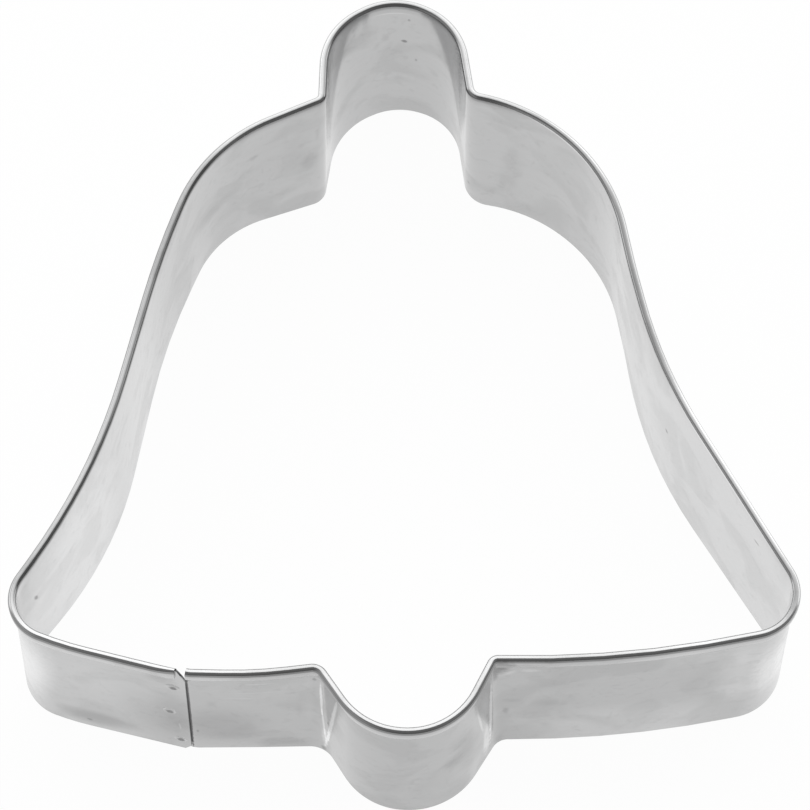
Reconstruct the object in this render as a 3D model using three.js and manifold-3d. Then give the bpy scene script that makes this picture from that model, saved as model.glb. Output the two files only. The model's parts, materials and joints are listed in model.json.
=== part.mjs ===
// Bell-shaped cookie cutter: one strip of tinplate bent on edge into the outline of a bell.
// The upper edge is folded outwards as a smooth rim, the lower edge is left plain and cuts the dough.
// The ends lap at the left of the base, where the flap in front is spot-welded to the tongue behind it.
// Millimetres, +Z up. The cut edge lies on z = 0, and the origin is under the middle of the outline.

import * as THREE from "three";
import { mergeVertices } from "three/addons/utils/BufferGeometryUtils.js";
import Module from "manifold-3d";

// Sheet and wall
const SHEET = 0.25;
const WALL_HEIGHT = 20;

// Hem: the rim's fold, from its crown down to the raw edge of the sheet
const HEM_DEPTH = 2;
const HEM_BORE = 0.28;
const HEM_EDGE_GAP = 0.04;
const HEM_OUTER_STEPS = 6;
const HEM_BORE_STEPS = 4;

// Lap seam: the tongue runs on behind the flap past the last weld, and its hem is notched away there
const LAP_MARGIN = 0.8;
const LAP_GAP = 0.05;
const TONGUE_RELIEF = 0.6;
const HEM_CLEARANCE = 0.12;
const SEAM_BEND_RUN = 0.28;
const SEAM_BEND_RADIUS = 2;
const FLAP_CLIP_ALONG = 0.9;
const FLAP_CLIP_DOWN = 2.4;
const FLAP_CORNER_RADIUS = 0.6;

// Spot welds: a row up the flap, each set by eye at its own distance from the flap's end
const WELD_DIAMETER = 1;
const WELD_CLEARANCE = 0.03;
const WELD_DENT = 0.12;
const WELD_DENT_SHOULDER = 0.1;
const WELD_LIP = 0.05;
const WELD_LIP_WIDTH = 0.12;
const WELD_SIDES = 16;
const UPPER_WELD_BELOW_RIM = 4.6;
const LOWER_WELD_ABOVE_EDGE = 2.3;
const MIDDLE_WELD_RISE = 0.25;
const UPPER_WELD_FROM_END = 1.25;
const MIDDLE_WELD_FROM_END = 1.78;
const LOWER_WELD_FROM_END = 1;

// Bell: widths between the sharp corners that its bends round off, and their levels above the base line
const CLAPPER_MOUTH = 15.6;
const CLAPPER_FLAT = 7.9;
const CLAPPER_DROP = 6.7;
const LIP_WIDTH = 74.9;
const LIP_RISE = 4.1;
const WAIST_WIDTH = 43.7;
const WAIST_RISE = 40.2;
const SHOULDER_WIDTH = 36.6;
const SHOULDER_DROP = 3.9;
const BODY_LENGTH = 57.4;
const LOOP_FOOT_WIDTH = 13.6;
const LOOP_WIDTH = 12.5;
const LOOP_HAUNCH_RISE = 7.6;
const LOOP_RISE = 10.7;

// Bends that have no partner on the other side: how far each lies from the bell's middle, and its level
const RIGHT_HIP_OFFSET = 23.4;
const RIGHT_HIP_RISE = 29.1;
const LEFT_HIP_OFFSET = 28.4;
const LEFT_HIP_RISE = 18.2;
const BASE_BOW_OFFSET = 20.4;
const TONGUE_BOW_OFFSET = 13.6;
const FLAP_BOW_OFFSET = 31.1;
const FLAP_BOW_RISE = 1.7;
const SEAM_OFFSET = 19.98;

// Levels along Y that several bends share
const SHOULDER_LEVEL = BODY_LENGTH - SHOULDER_DROP;
const HAUNCH_LEVEL = BODY_LENGTH + LOOP_HAUNCH_RISE;
const CROWN_LEVEL = BODY_LENGTH + LOOP_RISE;

// The sheet's middle line, counter-clockwise from the seam and back to it, as the sharp corners that its
// bends round off. The strip is bent by hand, so each bend strays from its place, at the rim and at the cut
// edge by different amounts, and the walls aren't quite plumb: [stray in x, stray in y, radius].
const BENDS = {
  tongueBow: { x: -TONGUE_BOW_OFFSET, y: 0, rim: [0, -1.15, 40], edge: [0, -0.6, 40] },
  clapperLeftCorner: { x: -CLAPPER_MOUTH / 2, y: 0, rim: [0.1, -0.4, 1.4], edge: [0.4, -0.5, 2.6] },
  clapperLeft: { x: -CLAPPER_FLAT / 2, y: -CLAPPER_DROP, rim: [0.35, 0.2, 9.1], edge: [0.35, 0, 8.7] },
  clapperRight: { x: CLAPPER_FLAT / 2, y: -CLAPPER_DROP, rim: [0.35, -0.2, 8.9], edge: [0.35, -0.4, 9.3] },
  clapperRightCorner: { x: CLAPPER_MOUTH / 2, y: 0, rim: [0.1, 0.4, 1], edge: [0.9, 0.2, 1.8] },
  baseBow: { x: BASE_BOW_OFFSET, y: 0, rim: [0, 0.1, 100], edge: [0, 0.2, 100] },
  rightLip: { x: LIP_WIDTH / 2, y: LIP_RISE, rim: [0.15, -0.1, 4.1], edge: [0.85, -0.1, 5.2] },
  rightHip: { x: RIGHT_HIP_OFFSET, y: RIGHT_HIP_RISE, rim: [0, 0, 51], edge: [-0.4, 0, 43] },
  rightWaist: { x: WAIST_WIDTH / 2, y: WAIST_RISE, rim: [-0.85, -0.7, 46], edge: [-0.45, -0.6, 46] },
  rightShoulder: { x: SHOULDER_WIDTH / 2, y: SHOULDER_LEVEL, rim: [-0.3, 1.3, 17.1], edge: [0.3, 0.8, 15.8] },
  rightLoopFoot: { x: LOOP_FOOT_WIDTH / 2, y: BODY_LENGTH, rim: [-0.8, 0.2, 1.5], edge: [-0.6, -0.9, 2.6] },
  rightHaunch: { x: LOOP_WIDTH / 2, y: HAUNCH_LEVEL, rim: [-1.39, 0.1, 6.2], edge: [-1.27, 0.15, 5.7] },
  loopCrown: { x: 0, y: CROWN_LEVEL, rim: [-1, 0.15, 6], edge: [-0.9, -1, 6.2] },
  leftHaunch: { x: -LOOP_WIDTH / 2, y: HAUNCH_LEVEL, rim: [-1.11, -0.39, 6.2], edge: [-0.55, -0.6, 7] },
  leftLoopFoot: { x: -LOOP_FOOT_WIDTH / 2, y: BODY_LENGTH, rim: [-0.8, -0.2, 1.1], edge: [-1.2, -0.8, 1.7] },
  leftShoulder: { x: -SHOULDER_WIDTH / 2, y: SHOULDER_LEVEL, rim: [-0.3, -1.3, 15.6], edge: [0, -0.5, 10.5] },
  leftWaist: { x: -WAIST_WIDTH / 2, y: WAIST_RISE, rim: [-0.85, 0.8, 88], edge: [-1.35, 1, 64] },
  leftHip: { x: -LEFT_HIP_OFFSET, y: LEFT_HIP_RISE, rim: [0, 0, 62], edge: [0.8, 0.7, 38] },
  leftLip: { x: -LIP_WIDTH / 2, y: LIP_RISE, rim: [0.15, 0.2, 3.7], edge: [-0.65, 0.7, 5.3] },
  flapBow: { x: -FLAP_BOW_OFFSET, y: FLAP_BOW_RISE, rim: [0, 0, 32], edge: [0, 0.3, 30] },
};
const FLAP_END = { x: -SEAM_OFFSET, y: 0, rim: [0, -1.2, 0], edge: [0.1, -0.85, 0] };

// How finely bends are cut into flats
const BEND_STEP = THREE.MathUtils.degToRad(12);
const BEND_SAG = 0.02;

// How far the cutting tools reach past the sheet on each side
const TOOL_REACH = 2;

// Points closer together than this are one point
const MERGE_DISTANCE = 1e-5;

const HEM_RADIUS = SHEET + HEM_BORE / 2;
const HEM_REACH = 2 * HEM_RADIUS - SHEET / 2;
const TONGUE_HEIGHT = WALL_HEIGHT - HEM_DEPTH - TONGUE_RELIEF;
const UPPER_WELD_HEIGHT = WALL_HEIGHT - UPPER_WELD_BELOW_RIM;
const MIDDLE_WELD_HEIGHT = (UPPER_WELD_HEIGHT + LOWER_WELD_ABOVE_EDGE) / 2 + MIDDLE_WELD_RISE;
const WELDS = [
  { name: "spot_weld_upper", fromEnd: UPPER_WELD_FROM_END, height: UPPER_WELD_HEIGHT },
  { name: "spot_weld_middle", fromEnd: MIDDLE_WELD_FROM_END, height: MIDDLE_WELD_HEIGHT },
  { name: "spot_weld_lower", fromEnd: LOWER_WELD_FROM_END, height: LOWER_WELD_ABOVE_EDGE },
];
const LAP_LENGTH = Math.max(...WELDS.map(({ fromEnd }) => fromEnd)) + WELD_DIAMETER / 2 + LAP_MARGIN;

const wasm = await Module();
wasm.setup();

// Outline

const outwards = (along) => new THREE.Vector2(along.y, -along.x);

// The corner of a bend at the rim, or at the cut edge.
function corner(bend, atEdge) {
  const [strayX, strayY, radius] = atEdge ? bend.edge : bend.rim;
  return { point: new THREE.Vector2(bend.x + strayX, bend.y + strayY), radius };
}

// All corners from the tongue's end to the flap's end. The tongue lies behind the flap and in line with it.
function corners(atEdge) {
  const bends = Object.values(BENDS).map((bend) => corner(bend, atEdge));
  const flapEnd = corner(FLAP_END, atEdge).point;
  const along = flapEnd.clone().sub(bends.at(-1).point).normalize();
  const behind = outwards(along).multiplyScalar(-(SHEET + LAP_GAP)).add(flapEnd);
  const onTongue = (past) => along.clone().multiplyScalar(past).add(behind);
  return [
    { point: onTongue(-LAP_LENGTH), radius: 0 },
    { point: onTongue(HEM_CLEARANCE), radius: 0 },
    { point: onTongue(HEM_CLEARANCE + SEAM_BEND_RUN), radius: SEAM_BEND_RADIUS },
    ...bends,
    { point: flapEnd, radius: 0 },
  ];
}

// Each corner's turn and the length of straight run that its rounding takes up on either side.
function roundings(list) {
  const found = list.map(({ point, radius }, i) => {
    if (i === 0 || i === list.length - 1) return { point, radius: 0, turn: 0, take: 0 };
    const before = point.clone().sub(list[i - 1].point).normalize();
    const after = list[i + 1].point.clone().sub(point).normalize();
    const turn = Math.atan2(before.cross(after), before.dot(after));
    // a bend towards the folded side is no tighter than the hem's own width
    const least = turn < 0 && radius > 0 ? HEM_REACH + SHEET / 2 : 0;
    const rounded = Math.max(radius, least);
    return { point, before, after, turn, radius: rounded, take: rounded * Math.tan(Math.abs(turn) / 2) };
  });
  const share = found.map(() => 1);
  for (let i = 1; i < found.length; i += 1) {
    const run = found[i].point.distanceTo(found[i - 1].point);
    const taken = found[i].take + found[i - 1].take;
    if (taken > run) {
      share[i - 1] = Math.min(share[i - 1], run / taken);
      share[i] = Math.min(share[i], run / taken);
    }
  }
  return found.map((bend, i) => ({ ...bend, radius: bend.radius * share[i], take: bend.take * share[i] }));
}

// Points along the outline with their outward directions, steps[i] flats to the bend at corner i.
function stations(bends, steps) {
  const out = [];
  bends.forEach((bend, i) => {
    if (!bend.take) {
      const near = bends[i === 0 ? 1 : i - 1].point;
      const along = bend.point.clone().sub(near).multiplyScalar(i === 0 ? -1 : 1).normalize();
      out.push({ point: bend.point, outward: outwards(along) });
      return;
    }
    const start = bend.before.clone().multiplyScalar(-bend.take).add(bend.point);
    const side = Math.sign(bend.turn);
    const centre = outwards(bend.before).multiplyScalar(-side * bend.radius).add(start);
    for (let k = 0; k <= steps[i]; k += 1) {
      const angle = (bend.turn * k) / steps[i];
      const outward = outwards(bend.before).rotateAround(new THREE.Vector2(), angle);
      out.push({ point: outward.clone().multiplyScalar(side * bend.radius).add(centre), outward });
    }
  });
  return out;
}

const rimBends = roundings(corners(false));
const edgeBends = roundings(corners(true));
const bendSteps = rimBends.map(({ turn, radius }) => {
  const sagging = radius > BEND_SAG ? 2 * Math.acos(1 - BEND_SAG / radius) : BEND_STEP;
  return Math.max(1, Math.ceil(Math.abs(turn) / Math.min(BEND_STEP, sagging)));
});
const rimLine = stations(rimBends, bendSteps);
const edgeLine = stations(edgeBends, bendSteps);
const HEM_START_STATION = 1;

// A point of the wall: station along the strip, distance outwards from the sheet's middle, and height.
function wallPoint(station, out, height) {
  const edge = edgeLine[station];
  const rim = rimLine[station];
  const low = edge.outward.clone().multiplyScalar(out).add(edge.point);
  const high = rim.outward.clone().multiplyScalar(out).add(rim.point);
  return new THREE.Vector3(...low.lerp(high, height / WALL_HEIGHT), height);
}

// Section of the strip

// The ring of the section, as [outwards, height]: the wall's foot, up its outer face to the tongue's
// height, into the fold, round the folded edge, over the crown and down the inner face.
function sectionRing() {
  const half = SHEET / 2;
  const crown = WALL_HEIGHT - HEM_RADIUS;
  const middle = HEM_RADIUS - half;
  const arc = (radius, steps, from, to) =>
    Array.from({ length: steps + 1 }, (_, k) => {
      const angle = from + ((to - from) * k) / steps;
      return [middle + radius * Math.cos(angle), crown + radius * Math.sin(angle)];
    });
  const folded = WALL_HEIGHT - HEM_DEPTH;
  return [
    [-half, 0],
    [half, 0],
    [half, TONGUE_HEIGHT],
    ...arc(HEM_BORE / 2, HEM_BORE_STEPS, Math.PI, 0),
    [half + HEM_EDGE_GAP, folded],
    [half + HEM_EDGE_GAP + SHEET, folded],
    ...arc(HEM_RADIUS, HEM_OUTER_STEPS, 0, Math.PI),
    [-half, TONGUE_HEIGHT],
  ];
}

// Band

// One closed skin: a plain tongue as far as the hem's start, then the hemmed section to the flap's end.
function stripGeometry() {
  const ring = sectionRing();
  const size = ring.length;
  const count = rimLine.length;
  const positions = [];
  for (let s = 0; s < count; s += 1) {
    ring.forEach(([out, height]) => positions.push(...wallPoint(s, out, height).toArray()));
  }
  const index = [];
  const at = (s, k) => s * size + k;
  const side = (s, from, to) => {
    index.push(at(s, from), at(s + 1, from), at(s + 1, to));
    index.push(at(s, from), at(s + 1, to), at(s, to));
  };
  const cap = (s, members, facesBack) => {
    const contour = members.map((k) => new THREE.Vector2(...ring[k]));
    THREE.ShapeUtils.triangulateShape(contour, []).forEach(([a, b, c]) => {
      const [p, q, r] = [members[a], members[b], members[c]];
      index.push(at(s, p), ...(facesBack ? [at(s, q), at(s, r)] : [at(s, r), at(s, q)]));
    });
  };
  const all = ring.map((_, k) => k);
  const tongue = [0, 1, 2, size - 1];
  const hem = all.slice(2);
  for (let s = 0; s < count - 1; s += 1) {
    const members = s < HEM_START_STATION ? tongue : all;
    members.forEach((k, i) => side(s, k, members[(i + 1) % members.length]));
  }
  cap(0, tongue, true);
  cap(HEM_START_STATION, hem, true);
  cap(count - 1, all, false);
  const geometry = new THREE.BufferGeometry();
  geometry.setAttribute("position", new THREE.Float32BufferAttribute(positions, 3));
  geometry.setIndex(index);
  return geometry;
}

function solid(geometry) {
  const bare = geometry.clone();
  bare.deleteAttribute("normal");
  bare.deleteAttribute("uv");
  const merged = mergeVertices(bare, MERGE_DISTANCE);
  return new wasm.Manifold(
    new wasm.Mesh({
      numProp: 3,
      vertProperties: merged.getAttribute("position").array,
      triVerts: new Uint32Array(merged.getIndex().array),
    }),
  );
}

function geometryOf(manifold) {
  const mesh = manifold.getMesh();
  const geometry = new THREE.BufferGeometry();
  geometry.setAttribute("position", new THREE.BufferAttribute(mesh.vertProperties, 3));
  geometry.setIndex(new THREE.BufferAttribute(mesh.triVerts, 1));
  geometry.computeVertexNormals();
  return geometry;
}

// The flap's frame at a height: X back along the flap from its end, Y outwards from the middle of the
// sheet, Z up from the cut edge.
function flapFrame(height) {
  const last = rimLine.length - 1;
  const origin = wallPoint(last, 0, height);
  const outward = wallPoint(last, 1, height).sub(origin);
  const up = new THREE.Vector3(0, 0, 1);
  const back = new THREE.Vector3().crossVectors(outward, up).normalize();
  return new THREE.Matrix4().makeBasis(back, outward, up).setPosition(origin.setZ(0));
}

// A prism over a shape drawn on the flap (back from its end, height), from one depth outwards to another.
function flapPrism(shape, height, from, to) {
  const geometry = new THREE.ExtrudeGeometry(shape, { depth: to - from, bevelEnabled: false });
  geometry.rotateX(Math.PI / 2);
  geometry.translate(0, to, 0);
  return solid(geometry.applyMatrix4(flapFrame(height)));
}

// The slanted cut that takes off the flap's corner at the rim.
function flapClip() {
  const past = HEM_CLEARANCE / 2;
  const top = WALL_HEIGHT + past;
  const slope = FLAP_CLIP_DOWN / FLAP_CLIP_ALONG;
  const shape = new THREE.Shape();
  shape.moveTo(FLAP_CLIP_ALONG + past / slope, top);
  shape.lineTo(-past, top);
  shape.lineTo(-past, WALL_HEIGHT - FLAP_CLIP_DOWN - past * slope);
  shape.closePath();
  return flapPrism(shape, WALL_HEIGHT, -SHEET, HEM_REACH + TOOL_REACH);
}

// What is filed off to round the flap's corner at the cut edge.
function flapFiling() {
  const r = FLAP_CORNER_RADIUS;
  const past = HEM_CLEARANCE / 2;
  const shape = new THREE.Shape();
  shape.moveTo(-past, -past);
  shape.lineTo(r, -past);
  shape.lineTo(r, 0);
  shape.absarc(r, r, r, -Math.PI / 2, -Math.PI, true);
  shape.lineTo(-past, r);
  shape.closePath();
  return flapPrism(shape, 0, -(SHEET + LAP_GAP) / 2, TOOL_REACH);
}

// Where a weld sits: Y outwards along its axis, with 0 on the flap's outer face.
function weldFrame({ fromEnd, height }) {
  const place = new THREE.Matrix4().makeTranslation(fromEnd, SHEET / 2, height);
  return flapFrame(height).multiply(place);
}

function weldHole(weld) {
  const geometry = new THREE.CylinderGeometry(
    WELD_DIAMETER / 2 + WELD_CLEARANCE,
    WELD_DIAMETER / 2 + WELD_CLEARANCE,
    2 * TOOL_REACH,
    WELD_SIDES,
  );
  return solid(geometry.applyMatrix4(weldFrame(weld)));
}

function bandGeometry() {
  let band = solid(stripGeometry());
  [flapClip(), flapFiling(), ...WELDS.map(weldHole)].forEach((tool) => {
    band = band.subtract(tool);
  });
  return geometryOf(band);
}

// Spot welds

// A nugget through both layers: dented in the middle of each face, with a small lip pushed up around it.
function weldGeometry() {
  const r = WELD_DIAMETER / 2;
  const thickness = 2 * SHEET + LAP_GAP;
  const face = [
    [0, -WELD_DENT],
    [(r - WELD_LIP_WIDTH) / 2, -WELD_DENT_SHOULDER],
    [r - WELD_LIP_WIDTH, 0],
    [r - WELD_LIP_WIDTH / 2, WELD_LIP],
    [r, 0],
  ];
  const back = face.map(([x, y]) => [x, -thickness - y]);
  const profile = [...back, ...face.reverse()].map(([x, y]) => new THREE.Vector2(x, y));
  return geometryOf(solid(new THREE.LatheGeometry(profile, WELD_SIDES)));
}

// Finishes

const tinplate = new THREE.MeshStandardMaterial({ color: 0xb9bbbc, roughness: 0.32, metalness: 1 });
const weldedTin = new THREE.MeshStandardMaterial({ color: 0x8f9092, roughness: 0.5, metalness: 1 });

// Assembly

const band = new THREE.Mesh(bandGeometry(), tinplate);
band.name = "cutter_band";

const cutter = new THREE.Group();
cutter.add(band);
WELDS.forEach((weld) => {
  const nugget = new THREE.Mesh(weldGeometry(), weldedTin);
  nugget.name = weld.name;
  nugget.applyMatrix4(weldFrame(weld));
  cutter.add(nugget);
});

// The origin goes under the middle of the outline's box.
const box = new THREE.Box3().setFromObject(cutter);
const middle = box.getCenter(new THREE.Vector3());
cutter.position.set(-middle.x, -middle.y, 0);

const root = new THREE.Group();
root.add(cutter);

export default root;
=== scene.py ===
"""Bell-shaped cookie cutter: the hemmed tinplate strip, its three spot welds and a plain pale stage."""

import cmath
import json
import math
from collections import namedtuple

import bmesh
import bpy
from mathutils import Matrix, Vector

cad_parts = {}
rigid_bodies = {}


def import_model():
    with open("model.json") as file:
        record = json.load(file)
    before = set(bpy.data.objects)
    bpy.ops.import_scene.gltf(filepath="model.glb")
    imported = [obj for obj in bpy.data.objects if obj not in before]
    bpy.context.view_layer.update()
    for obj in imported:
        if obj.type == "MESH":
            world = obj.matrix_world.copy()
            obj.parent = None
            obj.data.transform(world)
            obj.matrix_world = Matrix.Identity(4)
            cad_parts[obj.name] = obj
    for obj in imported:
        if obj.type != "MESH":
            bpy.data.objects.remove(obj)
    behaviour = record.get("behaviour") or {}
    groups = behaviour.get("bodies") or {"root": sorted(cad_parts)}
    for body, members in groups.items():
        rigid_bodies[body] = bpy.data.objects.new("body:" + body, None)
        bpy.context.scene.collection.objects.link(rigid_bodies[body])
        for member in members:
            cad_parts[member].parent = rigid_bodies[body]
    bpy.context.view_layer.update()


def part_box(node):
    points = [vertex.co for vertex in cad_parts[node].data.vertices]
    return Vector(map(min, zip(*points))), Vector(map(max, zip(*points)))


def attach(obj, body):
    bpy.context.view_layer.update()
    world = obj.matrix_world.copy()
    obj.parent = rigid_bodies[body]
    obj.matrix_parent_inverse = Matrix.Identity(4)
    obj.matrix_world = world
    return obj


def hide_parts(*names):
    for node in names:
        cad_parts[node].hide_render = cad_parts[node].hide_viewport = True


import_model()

bl_info = {
    "name": "Bell cookie cutter",
    "version": (1, 0, 0),
    "blender": (4, 5, 0),
    "location": "View3D > Sidebar > Cutter",
    "description": "Dresses a bell-shaped tinplate cookie cutter and its stage",
    "category": "Object",
}

MM = 0.001
BODY = "root"

# Two bends take up no more than this share of the run between their corners
BENT_SHARE = 0.99

# How finely the strip and a weld are drawn
BEND_STEP = math.radians(3)
RUN_STEP = 0.7 * MM
WALL_ROWS = 18
FOLD_STEPS = 18
SHOULDER_ROWS = 3
RETURN_ROWS = 6
WELD_SIDES = 40
DISH_STEPS = 8

# Flat maps of the strip and of a weld, in metres
STRIP_MAP = "StripMap"
WELD_MAP = "WeldMap"

# How far the flap's cut draws in the strip behind it
FLAP_DRAW = 3 * MM

# The tongue is notched from this far above its top row
NOTCH_MARGIN = 0.01 * MM

# Share of its height that a weld's lip keeps half-way down its outer slope, and a hole's depth in sheets
LIP_SLOPE = 0.8
HOLE_SHEETS = 6

# Noise that makes the wall wavy and a weld uneven
WALL_NOISE = {"Scale": 1.0, "Detail": 2.0}
WELD_NOISE = {"Scale": 1.2, "Detail": 1.0}

# Points nearer than this are one, and edges that turn more than this stay sharp
MERGE_DISTANCE = 0.0001 * MM
SHARP_ANGLE = math.radians(50)

# Parts of a direction between which the studio brightens: up its back, from front to back, and sideways
BACK_RISE = (0.0, 0.8)
BACK_EDGE = (0.0, 0.25)
SIDE_EDGE = (0.2, 0.8)

# Width of the camera's sensor in mm
SENSOR_WIDTH = 36

# Space between nodes in the node editor
NODE_SPACING = 200

UP = (0, 0, 1)


# Properties

def length(name, description, default_mm):
    """A size in millimetres, kept in metres."""
    return bpy.props.FloatProperty(
        name=name, description=description, default=default_mm * MM, unit="LENGTH", precision=5
    )


def share(name, description, default):
    """A number from 0 to 1."""
    return bpy.props.FloatProperty(
        name=name, description=description, default=default, min=0, max=1, subtype="FACTOR"
    )


def amount(name, description, default):
    """A plain number."""
    return bpy.props.FloatProperty(name=name, description=description, default=default)


def angle(name, description, default_degrees):
    """An angle in degrees, kept in radians."""
    return bpy.props.FloatProperty(
        name=name, description=description, default=math.radians(default_degrees), subtype="ANGLE"
    )


def colour(name, description, default):
    """A colour in linear light."""
    return bpy.props.FloatVectorProperty(
        name=name, description=description, default=default, size=3, min=0, max=1, subtype="COLOR"
    )


class StripSizes(bpy.types.PropertyGroup):
    """The sheet, its hem and the lap where its ends meet."""

    sheet: length("Sheet", "Thickness of the tinplate", 0.25)
    wall_height: length("Wall height", "From the cut edge to the crown of the rim", 20)
    hem_depth: length("Hem depth", "From the crown of the rim down to the sheet's folded-back edge", 2)
    hem_bore: length("Hem bore", "Inside width of the rim's fold", 0.28)
    hem_edge_gap: length("Hem edge gap", "Between the folded-back edge and the wall", 0.04)
    lap_length: length("Lap length", "How far the tongue runs on behind the flap", 3.08)
    lap_gap: length("Lap gap", "Between the flap and the tongue", 0.05)
    tongue_relief: length("Tongue relief", "From the hem's edge down to the tongue's top", 0.6)
    hem_clearance: length("Hem clearance", "From the flap's end to where the hem starts again", 0.12)
    seam_bend_run: length("Seam bend run", "From the hem's start to the bend beside the seam", 0.28)
    seam_bend_radius: length("Seam bend radius", "Radius of the bend beside the seam", 2)
    flap_clip_along: length("Flap clip along", "Slanted cut at the flap's rim, along the strip", 0.9)
    flap_clip_down: length("Flap clip down", "Slanted cut at the flap's rim, down the wall", 2.4)
    flap_corner: length("Flap corner", "Radius of the flap's corner at the cut edge", 0.6)
    waviness: length("Waviness", "How far the hand-bent wall strays from flat", 0.05)
    wave_span: length("Wave span", "Distance over which the wall strays", 11)
    pinch: share("Pinch", "How far the rim's fold is pressed shut at the flap's end", 0.4)
    seed: bpy.props.IntProperty(name="Seed", description="Picks the wall's unevenness", default=7)


class BellSizes(bpy.types.PropertyGroup):
    """Widths between the sharp corners that the bends round off, and their levels above the base line."""

    clapper_mouth: length("Clapper mouth", "Width of the clapper at the base line", 15.6)
    clapper_flat: length("Clapper flat", "Width between the clapper's lower corners", 7.9)
    clapper_drop: length("Clapper drop", "Depth of the clapper below the base line", 6.7)
    lip_width: length("Lip width", "Width across the flared lips", 74.9)
    lip_rise: length("Lip rise", "Level of the lips", 4.1)
    waist_width: length("Waist width", "Width across the waist", 43.7)
    waist_rise: length("Waist rise", "Level of the waist", 40.2)
    shoulder_width: length("Shoulder width", "Width across the shoulders", 36.6)
    shoulder_drop: length("Shoulder drop", "From the foot of the loop down to the shoulders", 3.9)
    body_length: length("Body length", "From the base line to the foot of the loop", 57.4)
    loop_foot_width: length("Loop foot width", "Width of the hanging loop at its foot", 13.6)
    loop_width: length("Loop width", "Width of the hanging loop at its haunches", 12.5)
    loop_haunch_rise: length("Loop haunch rise", "From the loop's foot to its haunches", 7.6)
    loop_rise: length("Loop rise", "From the loop's foot to its crown", 10.7)
    right_hip_offset: length("Right hip offset", "Right hip, from the bell's middle", 23.4)
    right_hip_rise: length("Right hip rise", "Level of the right hip", 29.1)
    left_hip_offset: length("Left hip offset", "Left hip, from the bell's middle", 28.4)
    left_hip_rise: length("Left hip rise", "Level of the left hip", 18.2)
    base_bow_offset: length("Base bow offset", "Bow in the base, right of the clapper", 20.4)
    tongue_bow_offset: length("Tongue bow offset", "Bow in the base, left of the clapper", 13.6)
    flap_bow_offset: length("Flap bow offset", "Bow in the base, left of the seam", 31.1)
    flap_bow_rise: length("Flap bow rise", "Level of the bow left of the seam", 1.7)
    seam_offset: length("Seam offset", "Seam, from the bell's middle", 19.98)


class WeldSizes(bpy.types.PropertyGroup):
    """The mark that a welding electrode leaves."""

    diameter: length("Diameter", "Diameter of the weld's nugget", 1)
    clearance: length("Clearance", "Between the nugget and the sheet around it", 0.03)
    dent: length("Dent", "Depth of the electrode's dent", 0.1)
    lip: length("Lip", "Height of the lip pushed up around the dent", 0.04)
    lip_width: length("Lip width", "Width of that lip", 0.15)
    lift: length("Lift", "Between the lip's underside and the sheet", 0.005)
    unevenness: share("Unevenness", "How far the weld strays from round", 0.12)
    seed: bpy.props.IntProperty(name="Seed", description="Picks the welds' unevenness", default=3)


class TinplateFinish(bpy.types.PropertyGroup):
    """Colours and gloss of the bright tinplate and of its welds."""

    clean: colour("Clean tin", "Tin without stains", (0.533, 0.534, 0.536))
    stained: colour("Stained tin", "Tin where handling has dulled it", (0.479, 0.480, 0.481))
    weld: colour("Weld", "Fused tin and steel", (0.42, 0.42, 0.422))
    roughness: share("Roughness", "Roughness of clean tin", 0.14)
    dulling: share("Dulling", "Roughness that stains add", 0.08)
    stain_span: amount("Stain span", "Width of a stain in millimetres", 7)
    grain: share("Grain", "How strongly the rolling streaks lighten and darken the tin", 0.012)


class StageSettings(bpy.types.PropertyGroup):
    """Floor, studio light and camera."""

    floor: colour("Floor", "Colour of the floor", (0.9, 0.9, 0.9))
    floor_size: length("Floor size", "Side of the square floor", 8000)
    shadow: share("Shadow", "How much of the floor's own shading the camera sees", 0.03)
    mirrored: share("Mirrored shadow", "How much of the floor's own shading the metal mirrors", 0.12)
    front: amount("Front", "Brightness of the studio in front of the cutter", 0.22)
    back_low: amount("Back, low", "Brightness of the studio behind the cutter, near the floor", 1.7)
    back_high: amount("Back, high", "Brightness of the studio behind the cutter, high up", 0.8)
    left: amount("Left", "Brightness of the studio to the left, on top of the front's", 0.35)
    right: amount("Right", "Brightness of the studio to the right, on top of the front's", 0.1)
    softbox_size: length("Softbox size", "Side of the square softbox", 1200)
    softbox_distance: length("Softbox distance", "From the floor's middle to the softbox", 1000)
    softbox_elevation: angle("Softbox elevation", "Softbox above the floor, behind the cutter", 58)
    softbox_radiance: amount("Softbox radiance", "Brightness of the softbox's face", 0.9)
    lens: amount("Lens", "Focal length in millimetres", 266.67)
    elevation: angle("Elevation", "Camera above the floor", 65.23)
    roll: angle("Roll", "Turn of the picture", 0.05)
    distance: length("Distance", "Camera to what it looks at", 555)
    look_x: length("Look at X", "Middle of the picture, along X", 0.034)
    look_y: length("Look at Y", "Middle of the picture, along Y", -4.839)
    look_z: length("Look at Z", "Middle of the picture, along Z", 19.61)


class CutterSettings(bpy.types.PropertyGroup):
    """All sizes and colours of the cutter and its stage."""

    strip: bpy.props.PointerProperty(type=StripSizes)
    bell: bpy.props.PointerProperty(type=BellSizes)
    weld: bpy.props.PointerProperty(type=WeldSizes)
    finish: bpy.props.PointerProperty(type=TinplateFinish)
    stage: bpy.props.PointerProperty(type=StageSettings)


# Plan of the strip: points on the floor are complex numbers, x + iy

Bend = namedtuple("Bend", "x y rim edge")
Corner = namedtuple("Corner", "point radius")
Rounding = namedtuple("Rounding", "point before turn radius take")


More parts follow.
